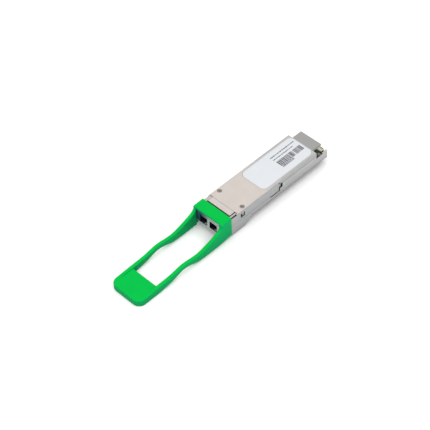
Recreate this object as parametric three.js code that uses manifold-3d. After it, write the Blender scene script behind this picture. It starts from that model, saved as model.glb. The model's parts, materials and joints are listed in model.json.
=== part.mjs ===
// Optical transceiver module of the quad small form-factor pluggable family, with a duplex receptacle
// and a pull-tab latch.
// Module frame, millimetres: X across, Y from the collar's front face (0) towards the edge connector,
// Z up from the underside of the body. The last lines move it to the part's own frame.

import * as THREE from "three";
import { mergeVertices } from "three/addons/utils/BufferGeometryUtils.js";
import Module from "manifold-3d";

const wasm = await Module();
wasm.setup();

// ---- driving dimensions ----

const BODY_LENGTH = 72.4;
const BODY_HALF_WIDTH = 18.35 / 2;
const BODY_HEIGHT = 8.5;
const SEAM_HEIGHT = 6.4;
const SEAM_GAP = 0.12;
const EDGE_RADIUS = 0.9;
const FIT = 0.05;

const NOSE_FRONT = 0.3;
const NOSE_HALF_WIDTH = 8.1;
const NOSE_TOP = 8.05;
const NOSE_BOTTOM = -3.1;
const NOSE_CHIN_FRONT = 2.6;
const NOSE_CHIN_TOP = 0.5;
const NOSE_SLOPE_START = 14.2;
const NOSE_SLOPE_END = 19.2;

const BODY_FRONT = 6.15;
const LID_FRONT = 7.3;
const FRONT_STEP_END = 10.5;
const FRONT_STEP_DEPTH = 0.12;
const NECK_TOP = 7.65;
const FLOOR = 1.0;
const LID_UNDERSIDE = 7.3;
const SHOULDER = 64.2;
const HOOD_HALF_WIDTH = 6.5;
const HOOD_END = 70.3;
const HOOD_UNDERSIDE = 7.2;
const RAIL_TOP = 4.4;
const REAR_CORNER = 1.0;
const TOP_GROOVE = { x: [8.48, 8.6], depth: 0.14 };

const LABEL_FRONT = 29.4;
const LABEL_REAR = 63.9;
const LABEL_HALF_WIDTH = 7.65;
const LABEL_CORNER = 2.8;
const LABEL_THICKNESS = 0.1;
const LABEL_RECESS = 0.13;
const LABEL_GAP = 0.07;

const SCREW_X = 7.3;
const SCREW_Y = 15.3;
const SCREW_HEAD_RADIUS = 1.0;
const SCREW_HEAD_HEIGHT = 0.6;
const SCREW_HEAD_SUNK = 0.1;
const SCREW_RECESS = { radius: 1.12, depth: 0.75 };
const SCREW_DRIVE = { half: 0.55, halfSlot: 0.13, depth: 0.3 };
const SCREW_SHANK_RADIUS = 0.4;
const SCREW_TIP = 3.3;

const COLLAR_LENGTH = 6.1;
const COLLAR_HALF_WIDTH = 9.45;
const COLLAR_TOP = 9.2;
const COLLAR_UNDERSIDE = 8.1;
const COLLAR_CORNER = 0.9;
const COLLAR_INNER_HALF_WIDTH = 8.2;
const STRAP_INNER = 7.6;
const PAD_REAR = -40.2;
const PAD_FRONT = -52.9;
const PAD_TOP = 0.1;
const PAD_BOTTOM = -3.5;
const PAD_CORNER = 3.8;
const PAD_RIM = 0.45;
const CHEEK_BOTTOM = -1.9;
const STRAP_ROOT_DROP = 0.85;

const SHEET = 0.4;
const ARM_OUTER = 9.15;
const ARM_BOTTOM = 2.9;
const ARM_TOP = 7.7;
const ARM_END = 38.1;
const HOOK_END = 39.4;
const HOOK_BOTTOM = 4.6;
const HOOK_TOP = 6.6;
const HOOK_INSET = 0.5;
const HOOK_DIP = 0.6;
const HOOK_LEAD = 0.4;
const CHANNEL_FLOOR = 8.7;
const CHANNEL_END = 38.9;
const POCKET_FLOOR = 7.9;
const POCKET = { y: [32.3, 38.9], z: [2.2, 7.5] };
const HOOK_POCKET = { y: [38.8, 40.6], z: [3.8, 6.8] };
const SLIDER_FRONT = 1.0;
const BRIDGE = { end: 5.9, z: [8.1, 8.5] };
const FINGERS = { left: [7.13, 8.5], right: [7.5, 8.45] };
const FINGER_TOP = 8.3;
const FINGER_RECESS = { x: 7.05, floor: 7.0, end: 10.6, outerX: 8.4, outerEnd: 9.8 };
const LATCH_TRAVEL = 2.5;
const WINDOW = { y: [12.5, 15.2], z: [4.2, 6.8] };
const TAB = { x: 7.5, y: [13.4, 14.4], z: [5.3, 5.9] };
const TAB_ROOM = 0.1;

const SPRING_Z = 5.6;
const SPRING_RADIUS = 0.52;
const SPRING_WIRE = 0.12;
const SPRING_TURNS = 7;
const SPRING_BORE = { x: 7.25, y: [6.7, 10.8], half: 0.72 };
const TAB_POCKET = {
  x: 7.25,
  y: [TAB.y[0] - LATCH_TRAVEL - TAB_ROOM, TAB.y[1] + TAB_ROOM],
  z: [4.25, 6.75],
  outerX: 8.0,
  outerEnd: 15.25,
};

const PORT_X = 3.125;
const PORT_Z = 3.3;
const PORT_HALF = 2.35;
const PORT_DEPTH = 10.5;
const RECEPTACLE_FRONT = 0.75;
const RECEPTACLE_HALF_WIDTH = 6.3;
const RECEPTACLE_REAR = 13.4;
const LATCH_SLOT_HALF = 1.5;
const CHANNEL_BOTTOM = -1.9;
const CHANNEL_REAR = 8.0;
const SLOT_REAR = 4.0;
const FERRULE_BORE = 1.3;

const SLEEVE = { y: [6.6, 14.6], radius: 1.15, bore: 0.64, boreEnd: 13.8 };
const BARREL = { radius: 2.2, front: [14.7, 15.5], neckRadius: 1.5, rear: [16.8, 18.6] };
const CLAMP = { halfWidth: 6.1, y: [15.6, 16.7], top: 6.3, slotHalf: 1.6 };
const OPTICS = { halfWidth: 2.75, y: [19.4, 26.6], z: [1.2, 6.4], noseRadius: 1.9, noseFront: 18.7 };
const FLEX = {
  halfWidth: 2.3,
  thickness: 0.18,
  front: 26.65,
  top: 5.9,
  bends: [27.3, 28.5],
  reach: 2.6,
  lift: 0.3,
  foot: 1.2,
};
const OPTICS_BAY = { halfWidth: 6.2, end: 28.0 };

const BOARD_BOTTOM = 3.9;
const BOARD_TOP = 4.9;
const BOARD_FRONT = 29.0;
const BOARD_NECK = 64.3;
const BOARD_SHOULDER = 68.7;
const BOARD_END = 71.6;
const BOARD_HALF_WIDTH = 7.1;
const BOARD_NECK_HALF_WIDTH = 6.4;
const CARD_HALF_WIDTH = 7.6;
const BOARD_BAY_HALF_WIDTH = 7.3;
const SIDE_MOUTH_HALF_WIDTH = 8.6;
const CARD_MOUTH_HALF_WIDTH = 7.8;
const BOARD_LEDGE = 6.6;
const SOLDER = 0.02;
const BOARD_PART = { foot: 0.15, inset: 0.2 };
const INDUCTOR = { x: 4.4, y: [52.6, 57.0], side: 2.5, height: 1.6 };

const GASKET = { x: [7.9, 8.3], y: [43, 61], z: [6.15, 6.43] };
const RETIMER_PAD = { half: 3.2, y: [41.8, 48.2], bottom: 5.95 };
const OPTICS_PAD = { half: 5.6, y: [20, 26] };

// ---- solids ----

// Turns a closed geometry into a solid that can be joined and cut.
function solid(geometry) {
  const bare = geometry.index ? geometry.toNonIndexed() : geometry;
  bare.deleteAttribute("normal");
  bare.deleteAttribute("uv");
  const merged = mergeVertices(bare, 1e-4);
  return new wasm.Manifold(
    new wasm.Mesh({
      numProp: 3,
      vertProperties: merged.attributes.position.array,
      triVerts: new Uint32Array(merged.index.array),
    }),
  );
}

function block([x0, x1], [y0, y1], [z0, z1]) {
  const box = new THREE.BoxGeometry(x1 - x0, y1 - y0, z1 - z0);
  box.translate((x0 + x1) / 2, (y0 + y1) / 2, (z0 + z1) / 2);
  return solid(box);
}

function extrude(shape, depth, curveSegments) {
  return new THREE.ExtrudeGeometry(shape, { depth, curveSegments, bevelEnabled: false });
}

// An outline in (y, z) pushed along X.
function alongX(shape, [x0, x1], curveSegments = 6) {
  const turn = new THREE.Matrix4().makeBasis(
    new THREE.Vector3(0, 1, 0),
    new THREE.Vector3(0, 0, 1),
    new THREE.Vector3(1, 0, 0),
  );
  return solid(extrude(shape, x1 - x0, curveSegments).applyMatrix4(turn).translate(x0, 0, 0));
}

// An outline in (x, z) pushed along Y.
function alongY(shape, [y0, y1], curveSegments = 6) {
  return solid(extrude(shape, y1 - y0, curveSegments).rotateX(Math.PI / 2).translate(0, y1, 0));
}

// An outline in (x, y) pushed along Z.
function alongZ(shape, [z0, z1], curveSegments = 8) {
  return solid(extrude(shape, z1 - z0, curveSegments).translate(0, 0, z0));
}

function outline(points) {
  return new THREE.Shape(points.map(([u, v]) => new THREE.Vector2(u, v)));
}

// A rectangle whose four corners have their own radii, from the lower left one round to the upper left.
function roundedRectangle([u0, u1], [v0, v1], [lowLeft, lowRight, highRight, highLeft]) {
  const shape = new THREE.Shape();
  const quarter = Math.PI / 2;
  shape.moveTo(u0 + lowLeft, v0);
  shape.lineTo(u1 - lowRight, v0);
  if (lowRight) shape.absarc(u1 - lowRight, v0 + lowRight, lowRight, -quarter, 0);
  shape.lineTo(u1, v1 - highRight);
  if (highRight) shape.absarc(u1 - highRight, v1 - highRight, highRight, 0, quarter);
  shape.lineTo(u0 + highLeft, v1);
  if (highLeft) shape.absarc(u0 + highLeft, v1 - highLeft, highLeft, quarter, 2 * quarter);
  shape.lineTo(u0, v0 + lowLeft);
  if (lowLeft) shape.absarc(u0 + lowLeft, v0 + lowLeft, lowLeft, 2 * quarter, 3 * quarter);
  return shape;
}

// A round bar along Y.
function barY(x, z, radius, [y0, y1], sides = 20) {
  const bar = new THREE.CylinderGeometry(radius, radius, y1 - y0, sides);
  return solid(bar.translate(x, (y0 + y1) / 2, z));
}

// A round bar along Z.
function barZ(x, y, radius, [z0, z1], sides = 20) {
  const bar = new THREE.CylinderGeometry(radius, radius, z1 - z0, sides).rotateX(Math.PI / 2);
  return solid(bar.translate(x, y, (z0 + z1) / 2));
}

function join(pieces) {
  return pieces.reduce((whole, piece) => whole.add(piece));
}

function cut(whole, tools) {
  return tools.reduce((left, tool) => left.subtract(tool), whole);
}

// A box on one side of the module: x is measured outwards from the middle.
function sideBlock(side, [x0, x1], y, z) {
  return side > 0 ? block([x0, x1], y, z) : block([-x1, -x0], y, z);
}

function bothSides(x, y, z) {
  return [-1, 1].map((side) => sideBlock(side, x, y, z));
}

// ---- shells ----

// Cutting tools and joined pieces run past the material by these.
const ABOVE = 20;
const BELOW = -20;
const BEYOND_REAR = 100;
const LAP = 0.1;

// The body's outer envelope behind the collar, with the deep nose and its slope under the front.
function bodyEnvelope() {
  const width = [-BODY_HALF_WIDTH, BODY_HALF_WIDTH];
  const corners = [EDGE_RADIUS, EDGE_RADIUS, EDGE_RADIUS / 2, EDGE_RADIUS / 2];
  const section = roundedRectangle(width, [0, BODY_HEIGHT], corners);
  const deepSection = roundedRectangle(width, [NOSE_BOTTOM, BODY_HEIGHT], corners);
  const noseSide = outline([
    [BODY_FRONT, NOSE_BOTTOM],
    [NOSE_SLOPE_START, NOSE_BOTTOM],
    [NOSE_SLOPE_END, 0],
    [NOSE_SLOPE_END, BODY_HEIGHT],
    [LID_FRONT, BODY_HEIGHT],
    [LID_FRONT, NECK_TOP],
    [BODY_FRONT, NECK_TOP],
  ]);
  const nose = alongY(deepSection, [BODY_FRONT, NOSE_SLOPE_END]).intersect(alongX(noseSide, width));
  return nose.add(alongY(section, [NOSE_SLOPE_END - 1, BODY_LENGTH]));
}

// The narrow part of the nose that the collar slides over. Its chin is set back to clear the plugs' latches.
function noseTip() {
  const section = outline([
    [NOSE_FRONT, NOSE_CHIN_TOP],
    [NOSE_CHIN_FRONT, NOSE_CHIN_TOP],
    [NOSE_CHIN_FRONT, NOSE_BOTTOM],
    [BODY_FRONT + 1, NOSE_BOTTOM],
    [BODY_FRONT + 1, NECK_TOP],
    [BRIDGE.end + FIT, NECK_TOP],
    [BRIDGE.end + FIT, NOSE_TOP],
    [NOSE_FRONT, NOSE_TOP],
  ]);
  return alongX(section, [-NOSE_HALF_WIDTH, NOSE_HALF_WIDTH]);
}

// Windows in front of the two ports, with slots below for the latch levers of the plugs.
function portCuts() {
  return [-1, 1].flatMap((side) => {
    const x = side * PORT_X;
    const wide = [x - PORT_HALF, x + PORT_HALF];
    return [
      block(wide, [-1, RECEPTACLE_FRONT + 1], [PORT_Z - PORT_HALF, PORT_Z + PORT_HALF]),
      block(wide, [RECEPTACLE_FRONT - FIT, CHANNEL_REAR], [CHANNEL_BOTTOM, PORT_Z]),
      block(wide, [RECEPTACLE_FRONT - FIT, SLOT_REAR], [BELOW, PORT_Z]),
    ];
  });
}

// What the latch slider needs on each side: arm channel, hook pocket, spring pocket and finger recess.
function latchCuts() {
  const beyond = BODY_HALF_WIDTH + 1;
  const springZ = [SPRING_Z - SPRING_BORE.half, SPRING_Z + SPRING_BORE.half];
  const fingerZ = [FINGER_RECESS.floor, ABOVE];
  return [
    ...bothSides([CHANNEL_FLOOR, beyond], [BELOW, CHANNEL_END], [ARM_BOTTOM - FIT, ARM_TOP + FIT]),
    ...bothSides([POCKET_FLOOR, beyond], POCKET.y, POCKET.z),
    ...bothSides([POCKET_FLOOR, beyond], HOOK_POCKET.y, HOOK_POCKET.z),
    ...bothSides([SPRING_BORE.x, beyond], SPRING_BORE.y, springZ),
    ...bothSides([TAB_POCKET.x, beyond], TAB_POCKET.y, TAB_POCKET.z),
    ...bothSides([TAB_POCKET.outerX, beyond], [TAB_POCKET.y[0], TAB_POCKET.outerEnd], TAB_POCKET.z),
    ...bothSides([FINGER_RECESS.x, FINGER_RECESS.outerX + LAP], [BELOW, FINGER_RECESS.end], fingerZ),
    ...bothSides([FINGER_RECESS.outerX, beyond], [BELOW, FINGER_RECESS.outerEnd], fingerZ),
  ];
}

// The hollow inside: receptacle seat, optics bay, board bay and the mouth around the board's edge.
function cavity() {
  const room = [FLOOR, LID_UNDERSIDE];
  const bay = (halfWidth, y, z = room) => block([-halfWidth, halfWidth], y, z);
  const seatZ = [NOSE_CHIN_TOP, LID_UNDERSIDE];
  return [
    bay(RECEPTACLE_HALF_WIDTH + 2 * FIT, [RECEPTACLE_FRONT - FIT, RECEPTACLE_REAR + FIT], seatZ),
    bay(OPTICS_BAY.halfWidth, [RECEPTACLE_REAR - 1, OPTICS_BAY.end]),
    bay(BOARD_BAY_HALF_WIDTH, [OPTICS_BAY.end - 0.5, BOARD_SHOULDER]),
    bay(SIDE_MOUTH_HALF_WIDTH, [BOARD_NECK + 2 * FIT, BOARD_SHOULDER - FIT]),
    bay(CARD_MOUTH_HALF_WIDTH, [BOARD_SHOULDER - 1, BEYOND_REAR]),
  ];
}

// Threaded hole for a lid screw, as plain bores.
function screwBore(side, z) {
  return barZ(side * SCREW_X, SCREW_Y, SCREW_SHANK_RADIUS + FIT, z);
}

function bottomShell() {
  const below = block([-ABOVE, ABOVE], [-1, BEYOND_REAR], [BELOW, SEAM_HEIGHT]);
  const plan = roundedRectangle(
    [-BODY_HALF_WIDTH, BODY_HALF_WIDTH],
    [0, BODY_LENGTH],
    [0, 0, REAR_CORNER, REAR_CORNER],
  );
  const outside = bodyEnvelope().add(noseTip()).intersect(below).intersect(alongZ(plan, [BELOW, ABOVE]));
  const hollow = cut(outside, [
    ...cavity(),
    ...portCuts(),
    ...latchCuts(),
    block([-ABOVE, ABOVE], [SHOULDER, BEYOND_REAR], [RAIL_TOP, ABOVE]),
    ...gasketCuts(),
    ...[-1, 1].map((side) => screwBore(side, [SCREW_TIP - 0.2, ABOVE])),
  ]);
  const ledgeX = [BOARD_LEDGE, BOARD_BAY_HALF_WIDTH + FIT];
  const ledges = bothSides(ledgeX, [BOARD_FRONT + 1, BOARD_NECK - 1], [FLOOR - LAP, BOARD_BOTTOM - FIT]);
  return join([hollow, ...ledges]);
}

function topShell() {
  const above = block([-ABOVE, ABOVE], [-1, BEYOND_REAR], [SEAM_HEIGHT + SEAM_GAP, ABOVE]);
  const outside = bodyEnvelope().add(noseTip()).intersect(above);
  const shoulders = bothSides([HOOD_HALF_WIDTH, ABOVE], [SHOULDER, BEYOND_REAR], [BELOW, ABOVE]);
  const labelSeat = roundedRectangle(
    [-LABEL_HALF_WIDTH - LABEL_GAP, LABEL_HALF_WIDTH + LABEL_GAP],
    [LABEL_FRONT - LABEL_GAP, LABEL_REAR + LABEL_GAP],
    [LABEL_CORNER, LABEL_CORNER, LABEL_CORNER, LABEL_CORNER],
  );
  return cut(outside, [
    ...cavity(),
    ...latchCuts(),
    ...shoulders,
    block([-ABOVE, ABOVE], [HOOD_END, BEYOND_REAR], [BELOW, ABOVE]),
    block([-ABOVE, ABOVE], [SHOULDER, BEYOND_REAR], [BELOW, HOOD_UNDERSIDE]),
    block([-ABOVE, ABOVE], [LID_FRONT - FIT, FRONT_STEP_END], [BODY_HEIGHT - FRONT_STEP_DEPTH, ABOVE]),
    ...bothSides(TOP_GROOVE.x, [HOOK_POCKET.y[1], BEYOND_REAR], [BODY_HEIGHT - TOP_GROOVE.depth, ABOVE]),
    alongZ(labelSeat, [BODY_HEIGHT - LABEL_RECESS, ABOVE]),
    ...[-1, 1].flatMap((side) => [
      barZ(side * SCREW_X, SCREW_Y, SCREW_RECESS.radius, [BODY_HEIGHT - SCREW_RECESS.depth, ABOVE]),
      screwBore(side, [BELOW, ABOVE]),
    ]),
  ]);
}

// ---- label and screws ----

function topLabel() {
  const plan = roundedRectangle(
    [-LABEL_HALF_WIDTH, LABEL_HALF_WIDTH],
    [LABEL_FRONT, LABEL_REAR],
    [LABEL_CORNER, LABEL_CORNER, LABEL_CORNER, LABEL_CORNER],
  );
  const bottom = BODY_HEIGHT - LABEL_RECESS + 0.01;
  return alongZ(plan, [bottom, bottom + LABEL_THICKNESS]);
}

// A flat-headed screw with a cross drive.
function lidScrew(side) {
  const x = side * SCREW_X;
  const top = BODY_HEIGHT - SCREW_HEAD_SUNK;
  const seat = top - SCREW_HEAD_HEIGHT + FIT;
  const { half, halfSlot, depth } = SCREW_DRIVE;
  const driveZ = [top - depth, ABOVE];
  return cut(
    join([
      barZ(x, SCREW_Y, SCREW_HEAD_RADIUS, [seat, top]),
      barZ(x, SCREW_Y, SCREW_SHANK_RADIUS, [SCREW_TIP, seat + LAP], 12),
    ]),
    [
      block([x - half, x + half], [SCREW_Y - halfSlot, SCREW_Y + halfSlot], driveZ),
      block([x - halfSlot, x + halfSlot], [SCREW_Y - half, SCREW_Y + half], driveZ),
    ],
  );
}

// ---- seam gasket ----

function gasketCuts() {
  return bothSides(
    [GASKET.x[0] - FIT, GASKET.x[1] + FIT],
    [GASKET.y[0] - FIT, GASKET.y[1] + FIT],
    [GASKET.z[0] - 0.02, ABOVE],
  );
}

// ---- latch slider ----

// Stamped from sheet: a bridge over the nose, two stop fingers, and two arms that each end in an inset hook
// and have a tab bent in from the top of a window to push on the spring.
function latchSlider() {
  const inner = ARM_OUTER - SHEET;
  const underCollar = [SLIDER_FRONT, BRIDGE.end];
  const bridge = block([-ARM_OUTER, ARM_OUTER], underCollar, BRIDGE.z);
  const sides = [-1, 1].map((side) => {
    const finger = side > 0 ? FINGERS.right : FINGERS.left;
    const arm = join([
      sideBlock(side, [inner, ARM_OUTER], [SLIDER_FRONT, ARM_END], [ARM_BOTTOM, ARM_TOP]),
      sideBlock(side, [inner, ARM_OUTER], underCollar, [ARM_BOTTOM, BRIDGE.z[1]]),
      sideBlock(side, finger, [SLIDER_FRONT, FRONT_STEP_END - FIT], [FINGER_TOP - SHEET, FINGER_TOP]),
      hook(side),
    ]).subtract(sideBlock(side, [inner - LAP, ARM_OUTER + 1], WINDOW.y, WINDOW.z));
    const root = sideBlock(side, [inner, ARM_OUTER], TAB.y, [TAB.z[0], WINDOW.z[1] + LAP]);
    const tab = sideBlock(side, [TAB.x, ARM_OUTER], TAB.y, TAB.z);
    return join([arm, root, tab]);
  });
  return join([bridge, ...sides]);
}

// The arm's end dips into the pocket and flares out again, which lifts the cage's tongue when pulled.
function hook(side) {
  const inner = ARM_OUTER - SHEET;
  const dip = ARM_END + HOOK_DIP;
  const plan = [
    [ARM_OUTER, ARM_END - HOOK_LEAD],
    [ARM_OUTER - HOOK_INSET, dip],
    [ARM_OUTER - HOOK_INSET / 2, HOOK_END],
    [inner - HOOK_INSET / 2, HOOK_END],
    [inner - HOOK_INSET, dip],
    [inner, ARM_END - HOOK_LEAD],
  ];
  const points = plan.map(([x, y]) => [side * x, y]);
  return alongZ(outline(side > 0 ? points : points.reverse()), [HOOK_BOTTOM, HOOK_TOP]);
}

// Compression spring between the front wall of its bore and the slider's tab.
function returnSpring(side) {
  const start = SPRING_BORE.y[0] + SPRING_WIRE + FIT;
  const length = TAB.y[0] - FIT - SPRING_WIRE - start;
  const centre = (SPRING_BORE.x + ARM_OUTER - SHEET) / 2;
  const stepsPerTurn = 10;
  const steps = SPRING_TURNS * stepsPerTurn;
  const points = Array.from({ length: steps + 1 }, (_, step) => {
    const angle = (2 * Math.PI * step) / stepsPerTurn;
    return new THREE.Vector3(
      side * centre + SPRING_RADIUS * Math.cos(angle),
      start + (length * step) / steps,
      SPRING_Z + SPRING_RADIUS * Math.sin(angle),
    );
  });
  const wire = new THREE.Shape().absarc(0, 0, SPRING_WIRE, 0, 2 * Math.PI);
  const coil = new THREE.ExtrudeGeometry(wire, {
    steps,
    curveSegments: 5,
    extrudePath: new THREE.CatmullRomCurve3(points),
  });
  return solid(coil);
}

// ---- pull tab ----

// Strap edges as (distance ahead of the collar's front face, height), each a smooth curve through its points.
const STRAP_UPPER = [
  [0, 7.0],
  [2.3, 5.0],
  [9.0, 2.5],
  [15.4, 1.2],
  [24.2, 2.05],
  [32.0, 0.9],
];
const STRAP_LOWER = [
  [9.0, -3.0],
  [15.4, -2.6],
  [24.2, -0.4],
  [32.0, -2.3],
];

function ahead([distance, height]) {
  return new THREE.Vector2(-distance, height);
}

// A strap seen from the side, from the collar's cheek to the pad, where its rim fades out at the corner.
function strapSide() {
  const rimTop = PAD_TOP + PAD_RIM;
  const shape = new THREE.Shape();
  shape.moveTo(COLLAR_LENGTH, CHEEK_BOTTOM);
  shape.lineTo(COLLAR_LENGTH, COLLAR_TOP - COLLAR_CORNER);
  shape.lineTo(0, COLLAR_TOP - COLLAR_CORNER);
  shape.lineTo(...STRAP_UPPER[0]);
  shape.splineThru([...STRAP_UPPER.slice(1).map(ahead), new THREE.Vector2(PAD_REAR, rimTop)]);
  shape.lineTo(PAD_FRONT + PAD_CORNER, PAD_TOP);
  shape.lineTo(PAD_FRONT, PAD_TOP);
  shape.lineTo(PAD_FRONT, PAD_BOTTOM);
  shape.lineTo(PAD_REAR, PAD_BOTTOM);
  shape.splineThru([...STRAP_LOWER.map(ahead).reverse(), new THREE.Vector2(0, CHEEK_BOTTOM - STRAP_ROOT_DROP)]);
  return shape;
}

function pullTab() {
  const outer = [-COLLAR_HALF_WIDTH, COLLAR_HALF_WIDTH];
  const bridgeSection = roundedRectangle(outer, [-1, COLLAR_TOP], [0, 0, COLLAR_CORNER, COLLAR_CORNER]);
  const bridge = alongY(bridgeSection, [0, COLLAR_LENGTH]);
  const side = strapSide();
  const straps = [
    alongX(side, [-COLLAR_HALF_WIDTH, -STRAP_INNER], 4),
    alongX(side, [STRAP_INNER, COLLAR_HALF_WIDTH], 4),
  ];
  const pad = block([-STRAP_INNER - 0.5, STRAP_INNER + 0.5], [PAD_FRONT, PAD_REAR], [PAD_BOTTOM, PAD_TOP]);
  const plan = roundedRectangle(outer, [PAD_FRONT, COLLAR_LENGTH], [PAD_CORNER, PAD_CORNER, 0, 0]);
  const strapsAndPad = join([...straps, pad]).intersect(alongZ(plan, [BELOW, ABOVE], 10));
  const beyond = COLLAR_LENGTH + 1;
  const nose = [-COLLAR_INNER_HALF_WIDTH, COLLAR_INNER_HALF_WIDTH];
  const sheet = [-ARM_OUTER - FIT, ARM_OUTER + FIT];
  const behind = SLIDER_FRONT - FIT;
  return cut(bridge.add(strapsAndPad), [
    block([-STRAP_INNER, STRAP_INNER], [-1, 1], [BELOW, COLLAR_UNDERSIDE]),
    block(nose, [NOSE_FRONT - 0.15, beyond], [BELOW, COLLAR_UNDERSIDE]),
    block(sheet, [behind, beyond], [ARM_BOTTOM - FIT, BRIDGE.z[1] + FIT]),
  ]);
}

// ---- receptacle and optics ----

// Two square plug ports side by side, each open below for the plug's latch lever.
function receptacle() {
  const width = [-RECEPTACLE_HALF_WIDTH, RECEPTACLE_HALF_WIDTH];
  const bottom = NOSE_CHIN_TOP + FIT;
  const housing = block(width, [RECEPTACLE_FRONT, RECEPTACLE_REAR], [bottom, LID_UNDERSIDE - FIT]);
  const cuts = [-1, 1].flatMap((side) => {
    const x = side * PORT_X;
    return [
      block([x - PORT_HALF, x + PORT_HALF], [-1, PORT_DEPTH], [PORT_Z - PORT_HALF, PORT_Z + PORT_HALF]),
      block([x - LATCH_SLOT_HALF, x + LATCH_SLOT_HALF], [-1, CHANNEL_REAR - 1], [BELOW, PORT_Z]),
      barY(x, PORT_Z, FERRULE_BORE, [PORT_DEPTH - 1, RECEPTACLE_REAR + 1], 24),
    ];
  });
  return cut(housing, cuts);
}

// Ceramic sleeve that lines up the plug's ferrule, open at its front end.
function ferruleSleeve(side) {
  const x = side * PORT_X;
  const bore = barY(x, PORT_Z, SLEEVE.bore, [SLEEVE.y[0] - 1, SLEEVE.boreEnd], 16);
  return barY(x, PORT_Z, SLEEVE.radius, SLEEVE.y, 24).subtract(bore);
}

// Stepped metal barrel between the sleeve and the sub-assembly housing.
function barrel(side) {
  const x = side * PORT_X;
  return join([
    barY(x, PORT_Z, BARREL.radius, BARREL.front, 24),
    barY(x, PORT_Z, BARREL.neckRadius, [BARREL.front[1] - LAP, BARREL.rear[0] + LAP], 24),
    barY(x, PORT_Z, BARREL.radius, BARREL.rear, 24),
  ]);
}

// Plate that grips both barrels in their necks.
function barrelClamp() {
  const { halfWidth, y, top, slotHalf } = CLAMP;
  const plate = block([-halfWidth, halfWidth], y, [FLOOR + FIT, top]);
  const through = [y[0] - 1, y[1] + 1];
  const slots = [-PORT_X, PORT_X].flatMap((x) => [
    barY(x, PORT_Z, slotHalf, through, 24),
    block([x - slotHalf, x + slotHalf], through, [PORT_Z, ABOVE]),
  ]);
  return cut(plate, slots);
}

function opticsHousing(side) {
  const x = side * PORT_X;
  return join([
    block([x - OPTICS.halfWidth, x + OPTICS.halfWidth], OPTICS.y, OPTICS.z),
    barY(x, PORT_Z, OPTICS.noseRadius, [OPTICS.noseFront, OPTICS.y[0] + LAP], 24),
  ]);
}

// Flexible circuit from the back of a sub-assembly down onto the board.
function flexCircuit(side) {
  const x = side * PORT_X;
  const width = [x - FLEX.halfWidth, x + FLEX.halfWidth];
  const rear = BOARD_FRONT + FLEX.reach;
  const low = BOARD_TOP + FLEX.lift;
  const path = [
    [FLEX.front, FLEX.top],
    [FLEX.bends[0], FLEX.top],
    [FLEX.bends[1], low],
    [rear, low],
  ];
  const raised = path.map(([y, z]) => [y, z + FLEX.thickness]);
  const strip = alongX(outline([...path, ...raised.reverse()]), width);
  const foot = block(width, [rear - FLEX.foot, rear], [BOARD_TOP + SOLDER, low + LAP]);
  return strip.add(foot);
}

// ---- board ----

// Bay part, narrow neck between the shell's rear corners, and the card edge with its chamfered corners.
function circuitBoard() {
  const halfOutline = [
    [BOARD_HALF_WIDTH, BOARD_FRONT],
    [BOARD_HALF_WIDTH, BOARD_NECK],
    [BOARD_NECK_HALF_WIDTH, BOARD_NECK],
    [BOARD_NECK_HALF_WIDTH, BOARD_SHOULDER],
    [CARD_HALF_WIDTH, BOARD_SHOULDER],
    [CARD_HALF_WIDTH, BOARD_END - 0.5],
    [CARD_HALF_WIDTH - 0.5, BOARD_END],
  ];
  const mirrored = halfOutline.map(([x, y]) => [-x, y]).reverse();
  return alongZ(outline([...halfOutline, ...mirrored]), [BOARD_BOTTOM, BOARD_TOP]);
}

// A part soldered on the board's top face, as a box on a slightly smaller foot.
function boardPart([x, y], side, height) {
  const base = BOARD_TOP + SOLDER;
  const square = (half, z) => block([x - half, x + half], [y - half, y + half], z);
  const { foot, inset } = BOARD_PART;
  return join([
    square(side / 2, [base + foot, base + height]),
    square(side / 2 - inset, [base, base + 2 * foot]),
  ]);
}

// ---- materials ----

const FINISH = {
  castZinc: [0xc9c5c0, 0.35, 0.9],
  stampedSteel: [0xc4c6cc, 0.28, 1.0],
  greenElastomer: [0x06c552, 0.55, 0.0],
  labelPaper: [0xeef1f4, 0.6, 0.0],
  screwSteel: [0x8f8b86, 0.4, 1.0],
  portPlastic: [0x0d1430, 0.5, 0.0],
  ceramic: [0xf2efe6, 0.25, 0.0],
  goldPlate: [0xc9a24a, 0.3, 1.0],
  boardGreen: [0x0c3a2c, 0.5, 0.0],
  flexAmber: [0xb4721c, 0.45, 0.0],
  chipBlack: [0x1b1c1f, 0.55, 0.0],
  ferriteGrey: [0x3d3f43, 0.6, 0.0],
  thermalPad: [0x7f93a8, 0.85, 0.0],
  gasketRubber: [0x4a4b4d, 0.8, 0.0],
  springSteel: [0xa9adb3, 0.3, 1.0],
};

function geometryOf(body) {
  const { vertProperties, triVerts } = body.getMesh();
  const geometry = new THREE.BufferGeometry();
  geometry.setAttribute("position", new THREE.BufferAttribute(new Float32Array(vertProperties), 3));
  geometry.setIndex(new THREE.BufferAttribute(new Uint32Array(triVerts), 1));
  const flat = geometry.toNonIndexed();
  flat.computeVertexNormals();
  return flat;
}

const assembly = new THREE.Group();

function node(name, body, finish) {
  const [color, roughness, metalness] = FINISH[finish];
  const material = new THREE.MeshStandardMaterial({ color, roughness, metalness });
  const mesh = new THREE.Mesh(geometryOf(body), material);
  mesh.name = name;
  assembly.add(mesh);
}

node("bottom_shell", bottomShell(), "castZinc");
node("top_shell", topShell(), "castZinc");
node("top_label", topLabel(), "labelPaper");
node("latch_slider", latchSlider(), "stampedSteel");
node("pull_tab", pullTab(), "greenElastomer");
node("receptacle", receptacle(), "portPlastic");
node("barrel_clamp", barrelClamp(), "stampedSteel");
node("circuit_board", circuitBoard(), "boardGreen");

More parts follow.
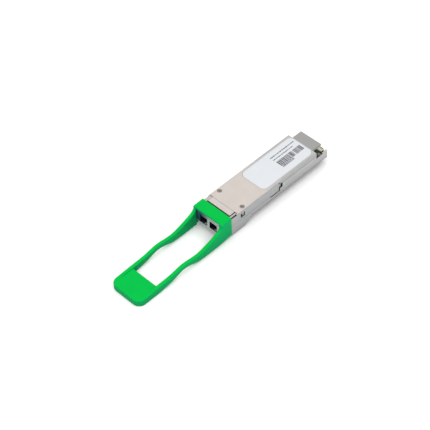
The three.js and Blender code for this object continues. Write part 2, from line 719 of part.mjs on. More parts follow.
for (const [side, hand, channel] of [
  [-1, "left", "transmit"],
  [1, "right", "receive"],
]) {
  node(`lid_screw_${hand}`, lidScrew(side), "screwSteel");
  node(`return_spring_${hand}`, returnSpring(side), "springSteel");
  node(`seam_gasket_${hand}`, sideBlock(side, GASKET.x, GASKET.y, GASKET.z), "gasketRubber");
  node(`${channel}_sleeve`, ferruleSleeve(side), "ceramic");
  node(`${channel}_barrel`, barrel(side), "goldPlate");
  node(`${channel}_housing`, opticsHousing(side), "goldPlate");
  node(`${channel}_flex`, flexCircuit(side), "flexAmber");
}

// Each chip's centre, side and height.
const CHIPS = {
  laser_driver: [[-PORT_X, 35.4], 4.2, 0.9],
  receive_amplifier: [[PORT_X, 35.4], 4.2, 0.9],
  retimer: [[0, 45], 7, 1.0],
  microcontroller: [[-2.6, 54.6], 5, 0.9],
};
for (const [name, place] of Object.entries(CHIPS)) node(name, boardPart(...place), "chipBlack");
for (const [name, y] of [
  ["inductor_front", INDUCTOR.y[0]],
  ["inductor_rear", INDUCTOR.y[1]],
]) {
  node(name, boardPart([INDUCTOR.x, y], INDUCTOR.side, INDUCTOR.height), "ferriteGrey");
}

const PAD_CEILING = LID_UNDERSIDE - FIT;
for (const [name, { half, y }, bottom] of [
  ["retimer_thermal_pad", RETIMER_PAD, RETIMER_PAD.bottom],
  ["optics_thermal_pad", OPTICS_PAD, OPTICS.z[1] + FIT],
]) {
  node(name, block([-half, half], y, [bottom, PAD_CEILING]), "thermalPad");
}

// The part's own frame: origin under the middle of the whole length, on the surface it stands on.
assembly.position.set(0, -(PAD_FRONT + BODY_LENGTH) / 2, -PAD_BOTTOM);
const transceiver = new THREE.Group();
transceiver.add(assembly);

export default transceiver;
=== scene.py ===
"""Looks for an optical transceiver module: softened edges, procedural finishes, printed label marks,
contact pads, springs, floor, light and camera. Everything is in metres, in the CAD model's frame."""

import json
import math
import random

import bmesh
import bpy
from mathutils import Matrix, Vector

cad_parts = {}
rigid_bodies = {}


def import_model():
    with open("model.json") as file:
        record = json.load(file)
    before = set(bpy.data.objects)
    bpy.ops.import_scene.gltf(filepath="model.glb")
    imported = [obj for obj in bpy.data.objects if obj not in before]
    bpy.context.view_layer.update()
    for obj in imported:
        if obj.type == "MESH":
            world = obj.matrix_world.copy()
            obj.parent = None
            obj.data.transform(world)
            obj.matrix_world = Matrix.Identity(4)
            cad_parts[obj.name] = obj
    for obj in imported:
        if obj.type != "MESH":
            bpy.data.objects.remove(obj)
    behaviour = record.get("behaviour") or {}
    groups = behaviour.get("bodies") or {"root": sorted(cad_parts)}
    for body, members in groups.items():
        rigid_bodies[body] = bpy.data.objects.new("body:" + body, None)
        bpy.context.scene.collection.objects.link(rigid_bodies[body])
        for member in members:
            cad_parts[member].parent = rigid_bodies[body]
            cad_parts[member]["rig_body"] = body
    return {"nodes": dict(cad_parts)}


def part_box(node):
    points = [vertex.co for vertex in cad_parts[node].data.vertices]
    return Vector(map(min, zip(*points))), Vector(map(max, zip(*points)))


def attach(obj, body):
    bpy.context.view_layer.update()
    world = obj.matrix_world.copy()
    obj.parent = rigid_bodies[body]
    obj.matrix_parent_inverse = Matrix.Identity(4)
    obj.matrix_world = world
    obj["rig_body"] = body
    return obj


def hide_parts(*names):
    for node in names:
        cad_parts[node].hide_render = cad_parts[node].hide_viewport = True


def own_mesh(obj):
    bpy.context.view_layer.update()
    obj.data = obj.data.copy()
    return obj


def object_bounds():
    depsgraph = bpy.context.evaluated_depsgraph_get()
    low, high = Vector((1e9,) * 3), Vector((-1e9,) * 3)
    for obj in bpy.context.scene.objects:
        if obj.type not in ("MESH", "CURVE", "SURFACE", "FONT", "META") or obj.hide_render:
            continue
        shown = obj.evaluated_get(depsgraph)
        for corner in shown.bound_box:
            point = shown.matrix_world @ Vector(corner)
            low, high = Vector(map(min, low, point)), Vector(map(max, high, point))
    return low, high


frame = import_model()
cad_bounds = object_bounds()
MM = 0.001

# ---- places, read from the CAD nodes ----

BOTTOM_LOW, BOTTOM_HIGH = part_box("bottom_shell")
TOP_LOW, TOP_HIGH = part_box("top_shell")
LABEL_LOW, LABEL_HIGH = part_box("top_label")
BOARD_LOW, BOARD_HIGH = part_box("circuit_board")
TAB_LOW, TAB_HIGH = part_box("pull_tab")
PORT_LOW, PORT_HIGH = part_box("receptacle")
SEAM = (BOTTOM_HIGH.z + TOP_LOW.z) / 2

# Y runs from the pull tab's end to the edge connector. The body shows behind the collar, from BODY_FRONT on.
BODY_FRONT = TAB_HIGH.y
FINGER_END = BODY_FRONT + 4.5 * MM
WINDOW_SILL = PORT_LOW.z + 0.3 * MM
SLOPE_END = 9.45 * MM
SLOPE_FOOT = 4.9 * MM
RAIL_FOOT = 4.6 * MM
COLLAR_FRONT = BOTTOM_LOW.y - 0.3 * MM
PAD_REAR = TAB_LOW.y + 12.7 * MM
PAD_RIM_WIDTH = 1.8 * MM
PAD_RIM_TOP = TAB_LOW.z + 3.61 * MM
STRAP_ROOT = COLLAR_FRONT - 2.8 * MM
STATION = 1.0 * MM
STRAP_STATIONS = [PAD_REAR + STATION * (step + 0.5) for step in range(int((STRAP_ROOT - PAD_REAR) / STATION))]

# Half the width of a painted zone's blurred edge, and the tolerance when edges are told apart by their place.
SOFT = 0.05 * MM

# The range that most of a noise's values lie in.
NOISE_LOW, NOISE_HIGH = 0.3, 0.7

# ---- small node graphs ----


class Finish:
    """A node material made around its Principled shader, in object coordinates."""

    def __init__(self, name, **sockets):
        self.material = bpy.data.materials.new(name)
        self.material.use_nodes = True
        self.nodes = self.material.node_tree.nodes
        self.links = self.material.node_tree.links
        self.shader = self.nodes["Principled BSDF"]
        self.place = self.make("ShaderNodeTexCoord").outputs["Object"]
        for socket, value in sockets.items():
            self.feed(self.shader.inputs[socket.replace("_", " ")], value)

    def feed(self, socket, value):
        if isinstance(value, bpy.types.NodeSocket):
            self.links.new(value, socket)
        else:
            socket.default_value = value

    def make(self, kind, inputs=(), **settings):
        node = self.nodes.new(kind)
        for key, value in settings.items():
            setattr(node, key, value)
        for key, value in dict(inputs).items():
            self.feed(node.inputs[key], value)
        return node

    def noise(self, size, detail=3.0, stretch=(1, 1, 1)):
        """Noise from 0 to 1 whose features are about size across, longer along an axis with a small stretch."""
        place = self.make("ShaderNodeMapping", {"Vector": self.place, "Scale": stretch}).outputs["Vector"]
        inputs = {"Vector": place, "Scale": 1 / size, "Detail": detail}
        return self.make("ShaderNodeTexNoise", inputs).outputs["Fac"]

    def span(self, value, low, high, to_low, to_high):
        """value, taken from the range low to high into the range to_low to to_high."""
        inputs = {0: value, 1: low, 2: high, 3: to_low, 4: to_high}
        return self.make("ShaderNodeMapRange", inputs).outputs["Result"]

    def math(self, operation, a, b):
        return self.make("ShaderNodeMath", {0: a, 1: b}, operation=operation).outputs["Value"]

    def mix(self, factor, a, b, blend="MIX"):
        """Two colours mixed: 6 and 7 are the Mix node's colour inputs, and 2 is its colour output."""
        inputs = {0: factor, 6: a, 7: b}
        return self.make("ShaderNodeMix", inputs, data_type="RGBA", blend_type=blend).outputs[2]

    def openness(self, reach):
        """1 in the open and towards 0 in a corner that other surfaces close in within reach."""
        return self.make("ShaderNodeAmbientOcclusion", {"Distance": reach}, samples=8).outputs["AO"]

    def zone(self, soft=SOFT, **ranges):
        """1 where the object's coordinate on each named axis is in its range."""
        coordinates = self.make("ShaderNodeSeparateXYZ", {"Vector": self.place}).outputs
        inside = 1.0
        for axis, (low, high) in ranges.items():
            rise = self.span(coordinates[axis], low - soft, low + soft, 0.0, 1.0)
            fall = self.span(coordinates[axis], high - soft, high + soft, 1.0, 0.0)
            inside = self.math("MULTIPLY", inside, self.math("MULTIPLY", rise, fall))
        return inside

    def upright(self):
        """1 on faces that stand upright or look down, and 0 on faces that look up."""
        normal = self.make("ShaderNodeTexCoord").outputs["Normal"]
        rise = self.make("ShaderNodeSeparateXYZ", {"Vector": normal}).outputs["Z"]
        return self.span(rise, 0.2, 0.8, 1.0, 0.0)

    def bump(self, height, depth):
        inputs = {"Height": height, "Distance": depth, "Strength": 1.0}
        self.feed(self.shader.inputs["Normal"], self.make("ShaderNodeBump", inputs).outputs["Normal"])


def rgb(red, green, blue):
    """A colour from its 0 to 255 display values."""

    def linear(value):
        share = value / 255
        return share / 12.92 if share <= 0.04045 else ((share + 0.055) / 1.055) ** 2.4

    return (linear(red), linear(green), linear(blue), 1.0)


def toned(color, factor):
    """A colour made lighter or darker by a factor."""
    return (*(channel * factor for channel in color[:3]), 1.0)


def finish(
    name,
    color,
    roughness,
    metallic=0.0,
    specular=0.5,
    vary=0.05,
    mottle=5 * MM,
    grain=0.25 * MM,
    depth=0.004 * MM,
    stretch=(1, 1, 1),
    corner_shade=0.6,
    corner_shade_reach=0.8 * MM,
    shade=0.0,
    shade_reach=16 * MM,
    shade_from=None,
    sides=None,
):
    """The common finish: mottled colour with painted shade in corners, with a grain in its roughness and relief.
    Where it is given, sides is the colour of the upright faces, painted darker as shade, and shade the strength of
    the broad painted shade of places that the part itself closes in, which stops ahead of shade_from."""
    made = Finish(name, Metallic=metallic)
    made.shader.inputs["Specular IOR Level"].default_value = specular
    patches = made.noise(mottle, 4.0, stretch)
    patchy = made.span(patches, NOISE_LOW, NOISE_HIGH, 0.0, 1.0)
    shades = made.mix(patchy, toned(color, 1 - vary), toned(color, 1 + vary))
    # Painted shade: upright faces and faces that look down take the darker sides colour.
    if sides:
        shades = made.mix(made.upright(), shades, sides)
    # Painted shade, darker in corners that other surfaces close in.
    corner = made.span(made.openness(corner_shade_reach), 0.2, 0.95, 1 - corner_shade, 1.0)
    # Painted broad shade over places that the part itself closes in.
    if shade:
        broad_shade = made.span(made.openness(shade_reach), 0.25, 0.95, 1 - shade, 1.0)
        if shade_from is not None:
            ahead = made.zone(Y=(-1.0, shade_from))
            broad_shade = made.math("MAXIMUM", broad_shade, ahead)
        corner = made.math("MULTIPLY", corner, broad_shade)
    shade_tint = made.make("ShaderNodeCombineColor", {0: corner, 1: corner, 2: corner}).outputs["Color"]
    made.tinted = made.mix(1.0, shades, shade_tint, "MULTIPLY")
    made.feed(made.shader.inputs["Base Color"], made.tinted)
    fine = made.noise(grain, 2.0, stretch)
    spread = 0.06
    rough = made.span(fine, NOISE_LOW, NOISE_HIGH, roughness - spread, roughness + spread)
    made.feed(made.shader.inputs["Roughness"], rough)
    made.bump(fine, depth)
    return made


def paint(made, color, mask, share=None):
    """Turns the finish to color where mask is 1. A share, which is a number or another mask, weakens it."""
    if share is not None:
        mask = made.math("MULTIPLY", mask, share)
    made.tinted = made.mix(mask, made.tinted, color)
    made.feed(made.shader.inputs["Base Color"], made.tinted)


# ---- finishes ----

LID_ZINC = rgb(193, 187, 183)
# Painted shade: the lid's upright faces are coloured darker than its top.
LID_SIDE_SHADE = rgb(172, 173, 173)
BASE_ZINC = rgb(184, 185, 185)
HOOD_ZINC = rgb(151, 152, 153)
SHADOW = rgb(12, 18, 44)
NOSE_SHADE = rgb(76, 108, 142)
# Painted light: the chin under the ports is coloured lighter.
CHIN_LIGHT = rgb(214, 216, 218)
# Painted shade along the foot of the sides.
FOOT_SHADE = rgb(128, 130, 130)
MARGIN_ZINC = rgb(180, 180, 179)
NOTCH_SHADOW = rgb(58, 54, 50)
GROOVE_SHADE = rgb(16, 42, 34)

# Limits of the painted zones, each a little beyond the surfaces that it colours.
ABOVE_LID = TOP_HIGH.z + MM
TOP_FACE = TOP_HIGH.z - 0.4 * MM
RECESS_TOP = TOP_HIGH.z - 0.45 * MM
MARGIN_FADE = 2.5 * MM
HOOD_START = LABEL_HIGH.y + 0.3 * MM
BEHIND_BODY = BOTTOM_HIGH.y + MM
FOOT = (BOTTOM_LOW.z + 3 * MM, BOTTOM_LOW.z + 4.4 * MM)
GROOVE_START = BODY_FRONT - 0.5 * MM
GROOVE_END = BODY_FRONT + 1.15 * MM
RECESS_INNER, RECESS_OUTER = 7.0 * MM, 9.1 * MM
LEFT_FINGER = (-8.8 * MM, -6.8 * MM)
NOSE_FACE = (BOTTOM_LOW.y - MM, BOTTOM_LOW.y + 0.2 * MM)
PORT_MOUTH = BOTTOM_LOW.y + 0.15 * MM
# Where the painted shade on the nose's front face runs out across X.
NOSE_SHADE_START, NOSE_SHADE_END = PORT_LOW.x + 1.6 * MM, 0.3 * MM


def zinc(name, color, shade, sides=None):
    """Nickel-plated zinc casting, blasted to a fine satin. It is painted duller beside the label and on the hood.
    Painted shade darkens the foot of the sides, the groove behind the collar and the latch fingers' recesses, turns
    the nose's front face bluish and dark, and fills the inside of the ports and the notch beside the board with
    dark;
    painted light brightens the chin under the ports."""
    made = finish(
        name,
        color,
        roughness=0.42,
        metallic=0.85,
        vary=0.035,
        mottle=7 * MM,
        grain=0.16 * MM,
        depth=0.003 * MM,
        corner_shade=0.6,
        corner_shade_reach=0.7 * MM,
        shade=shade,
        shade_from=BODY_FRONT,
        sides=sides,
    )
    beside_label = made.zone(soft=MARGIN_FADE, Y=(LABEL_LOW.y + MARGIN_FADE, LABEL_HIGH.y + 3 * MM))
    paint(made, MARGIN_ZINC, beside_label, share=made.zone(Z=(TOP_FACE, ABOVE_LID)))
    paint(made, HOOD_ZINC, made.zone(Y=(HOOD_START, BOTTOM_HIGH.y), Z=(PORT_HIGH.z, ABOVE_LID)))
    # Painted shade, darker towards the foot of the sides.
    paint(made, FOOT_SHADE, made.zone(Y=(SLOPE_END, BEHIND_BODY), Z=FOOT), share=0.5)
    # Painted shade in the groove behind the collar.
    paint(made, GROOVE_SHADE, made.zone(Y=(GROOVE_START, GROOVE_END), Z=(SEAM + MM, RECESS_TOP)))
    # Painted shadow in the latch fingers' recesses.
    for recess in ((-RECESS_OUTER, -RECESS_INNER), (RECESS_INNER, RECESS_OUTER)):
        paint(made, SHADOW, made.zone(X=recess, Y=(BODY_FRONT, FINGER_END), Z=(SEAM + 0.4 * MM, RECESS_TOP)))

    # Painted shade on the nose's front face: bluish and darker towards the left, and dark where it is closed in.
    nose = made.zone(Y=NOSE_FACE, Z=(WINDOW_SILL, TOP_HIGH.z))
    sheltered = made.span(made.openness(5 * MM), 0.3, 0.8, 0.85, 0.0)
    across = made.make("ShaderNodeSeparateXYZ", {"Vector": made.place}).outputs["X"]
    overhung = made.span(across, NOSE_SHADE_START, NOSE_SHADE_END, 0.96, 0.0)
    paint(made, NOSE_SHADE, overhung, share=nose)
    paint(made, SHADOW, sheltered, share=nose)
    # Painted shadow inside the ports.
    inside = made.zone(
        X=(PORT_LOW.x - 0.2 * MM, PORT_HIGH.x + 0.2 * MM),
        Y=(PORT_MOUTH, PORT_HIGH.y),
        Z=(BOTTOM_LOW.z + 0.5 * MM, PORT_HIGH.z + 0.1 * MM),
    )
    paint(made, SHADOW, inside)
    # Painted light on the chin under the ports.
    paint(made, CHIN_LIGHT, made.zone(Y=NOSE_FACE, Z=(BOTTOM_LOW.z, WINDOW_SILL)), share=0.8)

    # Painted shadow in the notch beside the board.
    notch = made.zone(
        X=(BOARD_HIGH.x - 1.6 * MM, BOTTOM_HIGH.x - 0.45 * MM),
        Y=(HOOD_START, BOTTOM_HIGH.y - 3.2 * MM),
        Z=(BOTTOM_LOW.z + 4 * MM, TOP_LOW.z),
    )
    paint(made, NOTCH_SHADOW, notch)
    return made.material


def slider_steel():
    """Brushed sheet steel, dark where the collar's rear edge shades the left finger."""
    made = finish(
        "stamped_steel",
        rgb(178, 176, 174),
        roughness=0.42,
        metallic=1.0,
        vary=0.03,
        mottle=2.5 * MM,
        grain=0.1 * MM,
        stretch=(1, 0.12, 1),
        corner_shade=0.4,
        corner_shade_reach=0.4 * MM,
        shade=0.5,
        # Painted shade: the upright faces are coloured darker than the top.
        sides=rgb(172, 173, 174),
    )
    paint(made, GROOVE_SHADE, made.zone(X=LEFT_FINGER, Y=(GROOVE_START, BODY_FRONT + 0.35 * MM)))
    return made.material


def board_laminate():
    """Solder mask over copper: tracks along the board show as slightly raised, lighter bands."""
    made = finish(
        "board_laminate",
        rgb(10, 60, 44),
        roughness=0.4,
        vary=0.15,
        mottle=2 * MM,
        grain=0.1 * MM,
        corner_shade=0.7,
        corner_shade_reach=2 * MM,
    )
    tracks = made.noise(0.5 * MM, 0.0, (1, 0.06, 0.06))
    copper = made.span(tracks, 0.52, 0.56, 0.0, 1.0)
    paint(made, rgb(22, 92, 62), copper, share=0.5)
    return made.material


MATERIALS = {
    "lid": zinc("lid_zinc", LID_ZINC, 0.35, LID_SIDE_SHADE),
    "base": zinc("base_zinc", BASE_ZINC, 0.6),
    "steel": slider_steel(),
    "green": finish(
        "green_elastomer",
        rgb(0, 176, 67),
        roughness=0.55,
        specular=0.04,
        vary=0.03,
        mottle=6 * MM,
        grain=0.22 * MM,
        depth=0.006 * MM,
        corner_shade=0.35,
        corner_shade_reach=1.5 * MM,
        shade=0.35,
        # Painted shade: the tab's upright faces are darker and bluer than its top.
        sides=rgb(0, 166, 92),
    ).material,
    "label": finish(
        "label_film",
        rgb(202, 205, 209),
        roughness=0.45,
        specular=0.3,
        vary=0.012,
        grain=0.35 * MM,
        depth=0.002 * MM,
        corner_shade=0.2,
    ).material,
    "ink": finish(
        "label_ink", rgb(72, 74, 84), roughness=0.6, specular=0.2, vary=0.12, mottle=0.8 * MM, corner_shade=0.0
    ).material,
    "screw": finish(
        "screw_steel",
        rgb(146, 140, 134),
        roughness=0.35,
        metallic=1.0,
        vary=0.08,
        mottle=0.8 * MM,
        grain=0.08 * MM,
        corner_shade=0.8,
        corner_shade_reach=0.5 * MM,
    ).material,
    "port": finish(
        "port_plastic",
        rgb(16, 20, 40),
        roughness=0.5,
        specular=0.3,
        vary=0.15,
        mottle=2 * MM,
        grain=0.12 * MM,
        corner_shade=0.9,
        corner_shade_reach=3 * MM,
    ).material,
    "ceramic": finish(
        "ceramic", rgb(238, 234, 222), roughness=0.25, vary=0.02, grain=0.1 * MM, depth=0.001 * MM
    ).material,
    "gold": finish(
        "gold_plate",
        rgb(206, 192, 174),
        roughness=0.28,
        metallic=1.0,
        vary=0.06,
        mottle=1.5 * MM,
        grain=0.08 * MM,
        depth=0.001 * MM,
        corner_shade=0.5,
    ).material,
    "flex": finish(
        "polyimide_flex", rgb(176, 116, 36), roughness=0.35, vary=0.08, mottle=1.2 * MM, stretch=(4, 0.4, 1)
    ).material,
    "chip": finish(
        "chip_moulding", rgb(36, 37, 40), roughness=0.6, vary=0.1, mottle=0.6 * MM, grain=0.06 * MM
    ).material,
    "ferrite": finish(
        "ferrite", rgb(66, 68, 72), roughness=0.7, vary=0.15, mottle=0.5 * MM, grain=0.05 * MM
    ).material,
    "gel": finish(
        "thermal_gel", rgb(128, 146, 166), roughness=0.8, vary=0.08, mottle=1.0 * MM, grain=0.15 * MM
    ).material,
    "rubber": finish(
        "gasket_rubber", rgb(66, 67, 69), roughness=0.8, vary=0.1, mottle=0.8 * MM, grain=0.1 * MM
    ).material,
    "spring": finish(
        "spring_steel", rgb(176, 180, 186), roughness=0.3, metallic=1.0, vary=0.05, mottle=0.5 * MM
    ).material,
    "board": board_laminate(),
}


# ---- pieces made from the CAD nodes ----


def new_piece(name, mesh, look, body="module"):
    """A mesh as a visible piece that rides on a body, with a look from MATERIALS."""
    piece = bpy.data.objects.new(name, mesh)
    bpy.context.scene.collection.objects.link(piece)
    mesh.materials.clear()
    mesh.materials.append(MATERIALS[look])
    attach(piece, body)
    return piece


def is_sharp(edge, sharp):
    """Whether an edge between two faces turns by more than sharp, in radians."""
    return len(edge.link_faces) == 2 and edge.calc_face_angle(0) > sharp


def fitting_radius(edge, sharp):
    """The largest rounding of this edge that stays within its neighbours' lengths, less a tenth."""
    margin, least = 0.9, 1e-6
    largest = math.inf
    for loop in edge.link_loops:
        for corner, beside in ((loop, loop.link_loop_prev.edge), (loop.link_loop_next, loop.link_loop_next.edge)):
            angle = corner.calc_angle()
            if is_sharp(beside, sharp):
                reach = 1 / max(math.tan(angle / 2), least)
                room = beside.calc_length() / 2
            else:
                reach = 1 / max(math.sin(angle), least)
                room = beside.calc_length() * margin
            largest = min(largest, room / max(reach, least))
    return largest * margin


def softened(node, look, radius, segments=2, sharp=28, limit=lambda middle: math.inf, stations=()):
    """A copy of a CAD node with its flat faces merged and its edges sharper than so many degrees rounded, as far as
    their neighbours and limit, which gives the largest radius at a place, allow. Faces are divided at the stations
    along Y."""
    sharp = math.radians(sharp)
    same_place, same_station = 0.001 * MM, 0.2 * MM
    flat_within = math.radians(0.5)
    least_share = 0.1
    mesh = frame["nodes"][node].data.copy()
    shape = bmesh.new()
    shape.from_mesh(mesh)
    bmesh.ops.remove_doubles(shape, verts=shape.verts, dist=same_place)
    bmesh.ops.dissolve_limit(shape, angle_limit=flat_within, verts=shape.verts, edges=shape.edges)
    for station in stations:
        everything = [*shape.verts, *shape.edges, *shape.faces]
        bmesh.ops.bisect_plane(shape, geom=everything, dist=same_place, plane_co=(0, station, 0), plane_no=(0, 1, 0))
    if stations:
        crowded = [v for v in shape.verts if stations[0] - STATION < v.co.y < stations[-1] + STATION / 2]
        bmesh.ops.remove_doubles(shape, verts=crowded, dist=same_station)
    weight = shape.edges.layers.float.new("bevel_weight_edge")
    for face in shape.faces:
        face.smooth = True
    for edge in shape.edges:
        if not is_sharp(edge, sharp):
            continue
        middle = (edge.verts[0].co + edge.verts[1].co) / 2
        share = min(1.0, fitting_radius(edge, sharp) / radius, limit(middle) / radius)
        if share > least_share:
            edge[weight] = share
        else:
            edge.smooth = False
    shape.to_mesh(mesh)
    shape.free()
    piece = new_piece(f"{node}_finished", mesh, look, frame["nodes"][node]["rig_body"])
    bevel = piece.modifiers.new("Rounded edges", "BEVEL")
    bevel.limit_method = "WEIGHT"
    bevel.width = radius
    bevel.segments = segments
    bevel.use_clamp_overlap = False
    normals = piece.modifiers.new("Even shading", "WEIGHTED_NORMAL")
    normals.keep_sharp = True
    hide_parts(node)
    return piece


def base_limit(middle):
    """No rounding where the nose's slope runs out, or along the foot of the rounded rear corners."""
    corner, near = 1.1 * MM, 0.6 * MM
    outermost = abs(middle.x) > BOTTOM_HIGH.x - corner
    rear = middle.y > BOTTOM_HIGH.y - corner and middle.z < RAIL_FOOT
    slope_end = abs(middle.y - SLOPE_END) < near and middle.z < SLOPE_FOOT
    return 0.0 if outermost and (rear or slope_end) else math.inf


def tab_limit(middle):
    """The tab is thin round the latch and the nose, so the collar is rounded only on its outside, and the low rim
    along the pad only a little."""
    if middle.y < PAD_REAR:
        on_rim = abs(middle.x) < TAB_HIGH.x - PAD_RIM_WIDTH and middle.z > PAD_RIM_TOP
        return 0.1 * MM if on_rim else math.inf
    if middle.y < COLLAR_FRONT - SOFT:
        return math.inf
    outside = abs(middle.x) > TAB_HIGH.x - SOFT or middle.z > TAB_HIGH.z - MM
    rear = middle.y > TAB_HIGH.y - SOFT
    return math.inf if outside and not rear else 0.0


softened("bottom_shell", "base", 0.1 * MM, limit=base_limit)
softened("top_shell", "lid", 0.1 * MM)
softened("top_label", "label", 0.03 * MM)
softened("latch_slider", "steel", 0.06 * MM)
softened("pull_tab", "green", 0.4 * MM, 3, 50, tab_limit, STRAP_STATIONS)
softened("receptacle", "port", 0.08 * MM)
softened("barrel_clamp", "steel", 0.08 * MM)
softened("circuit_board", "board", 0.08 * MM)
for hand in ("left", "right"):
    softened(f"lid_screw_{hand}", "screw", 0.07 * MM)
    softened(f"seam_gasket_{hand}", "rubber", 0.05 * MM)
for channel in ("transmit", "receive"):
    softened(f"{channel}_sleeve", "ceramic", 0.12 * MM)
    softened(f"{channel}_barrel", "gold", 0.1 * MM)
    softened(f"{channel}_housing", "gold", 0.12 * MM)
    softened(f"{channel}_flex", "flex", 0.03 * MM)
for chip in ("laser_driver", "receive_amplifier", "retimer", "microcontroller"):
    softened(chip, "chip", 0.08 * MM)
for inductor in ("inductor_front", "inductor_rear"):
    softened(inductor, "ferrite", 0.2 * MM, 3)
for pad in ("retimer_thermal_pad", "optics_thermal_pad"):
    softened(pad, "gel", 0.15 * MM)

# ---- springs ----


def spring(hand):
    """A return spring with closed ends, which flattens towards its fixed front end as the latch is pulled. wire is
    the wire's radius, and closed is how many turns at each end lie against each other."""
    node = f"return_spring_{hand}"
    low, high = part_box(node)
    wire = 0.12 * MM
    radius = (high.z - low.z) / 2 - wire
    centre = (low + high) / 2
    turns, steps, sides = 9, 24, 8
    start, end = low.y + wire, high.y - wire
    closed = 1.0
    pitch = 2.1 * wire
    free = (end - start - 2 * closed * pitch) / (turns - 2 * closed)
    shape = bmesh.new()
    rings = []
    for step in range(turns * steps + 1):
        turn = step / steps
        angle = 2 * math.pi * turn
        along = min(turn, closed) * pitch + max(0, min(turn, turns - closed) - closed) * free
        along += max(0, turn - turns + closed) * pitch
        outward = Vector((math.cos(angle), 0, math.sin(angle)))
        middle = Vector((centre.x, start + along, centre.z)) + outward * radius
        ring = []
        for side in range(sides):
            turned = 2 * math.pi * side / sides
            offset = outward * math.cos(turned) + Vector((0, 1, 0)) * math.sin(turned)
            ring.append(shape.verts.new(middle + offset * wire))
        rings.append(ring)
    for ring, after in zip(rings, rings[1:]):
        for side in range(sides):
            other = (side + 1) % sides
            shape.faces.new((ring[side], ring[other], after[other], after[side]))
    shape.faces.new(list(reversed(rings[0])))
    shape.faces.new(rings[-1])
    bmesh.ops.recalc_face_normals(shape, faces=shape.faces)
    for face in shape.faces:
        face.smooth = len(face.verts) == 4
    mesh = bpy.data.meshes.new(f"{node}_coil")
    shape.to_mesh(mesh)
    shape.free()
    piece = new_piece(f"{node}_coil", mesh, "spring", frame["nodes"][node]["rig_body"])
    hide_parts(node)
    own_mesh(piece)


spring("left")
spring("right")

# ---- thin printed and plated pieces ----


def slabs(name, boxes, look):
    """One piece of many thin plates, each given by its lowest and highest corner, with chamfered upright corners."""
    chamfer = 0.22
    shape = bmesh.new()
    for low, high in boxes:
        corner = min(high[0] - low[0], high[1] - low[1]) * chamfer
        plan = [
            (low[0] + corner, low[1]),
            (high[0] - corner, low[1]),
            (high[0], low[1] + corner),
            (high[0], high[1] - corner),
            (high[0] - corner, high[1]),
            (low[0] + corner, high[1]),
            (low[0], high[1] - corner),
            (low[0], low[1] + corner),
        ]
        under = [shape.verts.new((x, y, low[2])) for x, y in plan]
        over = [shape.verts.new((x, y, high[2])) for x, y in plan]
        shape.faces.new(list(reversed(under)))
        shape.faces.new(over)
        for here in range(len(plan)):
            after = (here + 1) % len(plan)
            shape.faces.new((under[here], under[after], over[after], over[here]))
    mesh = bpy.data.meshes.new(name)
    shape.to_mesh(mesh)
    shape.free()
    return new_piece(name, mesh, look)


def contact_pads():
    """Edge contacts on both faces of the card, at a pitch of 0.8 mm. Every third one reaches further back."""
    count, pitch, width, thick = 19, 0.8 * MM, 0.54 * MM, 0.02 * MM
    front, rear, further = BOARD_HIGH.y - 2.4 * MM, BOARD_HIGH.y - 0.55 * MM, 0.35 * MM
    boxes = []
    for number in range(count):
        x = (number - (count - 1) / 2) * pitch
        reach = further if number % 3 == 0 else 0.0
        for low, high in ((BOARD_HIGH.z, BOARD_HIGH.z + thick), (BOARD_LOW.z - thick, BOARD_LOW.z)):
            boxes.append(((x - width / 2, front, low), (x + width / 2, rear + reach, high)))
    slabs("contact_pads", boxes, "gold")


def label_print():
    """Generic printed marks: two broken lines that stand for text, and a block of bars in two rows. Places along Y
    are counted from the label's rear edge."""
    chance = random.Random(7)
    thick = 0.008 * MM
    low, high = LABEL_HIGH.z, LABEL_HIGH.z + thick
    rear = LABEL_HIGH.y
    boxes = []

    def line(x, tall, start, end):
        """Dashes of random length along Y."""
        y = start
        while y < end:
            long = chance.uniform(0.35, 1.3) * MM
            stop = min(y + long, end)
            boxes.append(((x - tall / 2, y, low), (x + tall / 2, stop, high)))
            y = stop + chance.uniform(0.16, 0.3) * MM

    line(-4.4 * MM, 0.6 * MM, rear - 17.4 * MM, rear - 1.3 * MM)
    line(-2.5 * MM, 0.5 * MM, rear - 17.5 * MM, rear - 3.8 * MM)
    # Blocks of bars: left and right side, front and rear end in millimetres, and how heavy the bars are.
    for left, right, start, end, heavy in (
        (-0.9, 2.7, -17.1, -12.9, 1.6),
        (-0.9, 2.7, -12.3, -6.7, 1.3),
        (-0.9, 2.7, -6.1, -1.9, 1.7),
        (2.7, 4.1, -17.0, -9.6, 1.1),
    ):
        y = rear + start * MM
        while y < rear + end * MM:
            bar = chance.choice((0.14, 0.28, 0.42)) * heavy * MM
            boxes.append(((left * MM, y, low), (right * MM, y + bar, high)))
            y += bar + chance.choice((0.14, 0.28)) * MM
    slabs("label_print", boxes, "ink")


contact_pads()
label_print()

# ---- floor, light and camera ----

FLOOR_HALF = 3.0
FLOOR_GAP = 0.02 * MM
AMBIENT = 0.45

floor_mesh = bpy.data.meshes.new("floor")
floor_corners = [(x * FLOOR_HALF, y * FLOOR_HALF, 0) for x, y in ((-1, -1), (1, -1), (1, 1), (-1, 1))]
floor_mesh.from_pydata(floor_corners, [], [(0, 1, 2, 3)])
floor = bpy.data.objects.new("floor", floor_mesh)
floor.location.z = cad_bounds[0].z - FLOOR_GAP
bpy.context.scene.collection.objects.link(floor)
paper = Finish("floor_paper", Roughness=0.9)
paper.shader.inputs["Specular IOR Level"].default_value = 0.0
paper.feed(
    paper.shader.inputs["Base Color"],
    paper.mix(paper.noise(0.3), (0.93, 0.93, 0.93, 1), (0.95, 0.95, 0.95, 1)),
)
floor_mesh.materials.append(paper.material)


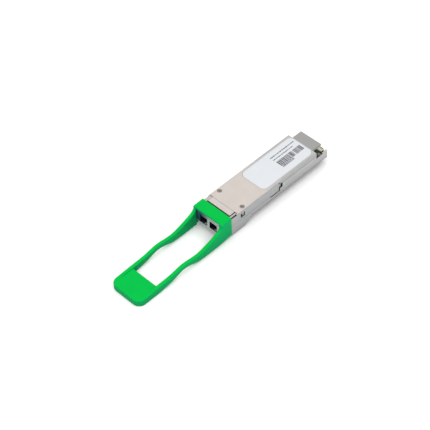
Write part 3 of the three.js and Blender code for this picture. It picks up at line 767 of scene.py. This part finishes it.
def softbox(name, place, size, power, color=(1.0, 1.0, 1.0)):
    """A square lamp that faces the origin."""
    lamp = bpy.data.lights.new(name, "AREA")
    lamp.shape = "SQUARE"
    lamp.size = size
    lamp.energy = power
    lamp.color = color
    holder = bpy.data.objects.new(name, lamp)
    holder.location = place
    holder.rotation_mode = "QUATERNION"
    holder.rotation_quaternion = (-Vector(place)).to_track_quat("-Z", "Y")
    bpy.context.scene.collection.objects.link(holder)


softbox("overhead_softbox", place=(0.3, -0.25, 1.15), size=2.0, power=23.0)
softbox("rear_left_softbox", place=(-0.75, 0.7, 1.0), size=1.0, power=3.2, color=(1.0, 0.94, 0.89))

world = bpy.data.worlds.new("studio")
world.use_nodes = True
background = world.node_tree.nodes["Background"].inputs
background["Color"].default_value = (1.0, 1.0, 1.0, 1.0)
background["Strength"].default_value = AMBIENT
bpy.context.scene.world = world
bpy.context.scene.view_settings.view_transform = "Standard"

# The camera that was fitted to the photograph. The focal length is in millimetres, on Blender's 36 mm sensor.
AZIMUTH, ELEVATION, ROLL = (math.radians(angle) for angle in (46.676, 47.324, -2.613))
TARGET = Vector((-1.067, -3.94, 7.5)) * MM
DISTANCE = 696.957 * MM
FOCAL_LENGTH = 126.38
NEAREST = 0.01

back = Vector(
    (
        math.sin(AZIMUTH) * math.cos(ELEVATION),
        -math.cos(AZIMUTH) * math.cos(ELEVATION),
        math.sin(ELEVATION),
    )
)
level = Vector((math.cos(AZIMUTH), math.sin(AZIMUTH), 0))
upward = back.cross(level)
right = level * math.cos(ROLL) + upward * math.sin(ROLL)
up = upward * math.cos(ROLL) - level * math.sin(ROLL)
eye = TARGET + back * DISTANCE
lens = bpy.data.cameras.new("camera")
lens.lens = FOCAL_LENGTH
lens.clip_start = NEAREST
camera = bpy.data.objects.new("camera", lens)
camera.matrix_world = Matrix(
    (
        (right.x, up.x, back.x, eye.x),
        (right.y, up.y, back.y, eye.y),
        (right.z, up.z, back.z, eye.z),
        (0, 0, 0, 1),
    )
)
bpy.context.scene.collection.objects.link(camera)
bpy.context.scene.camera = camera
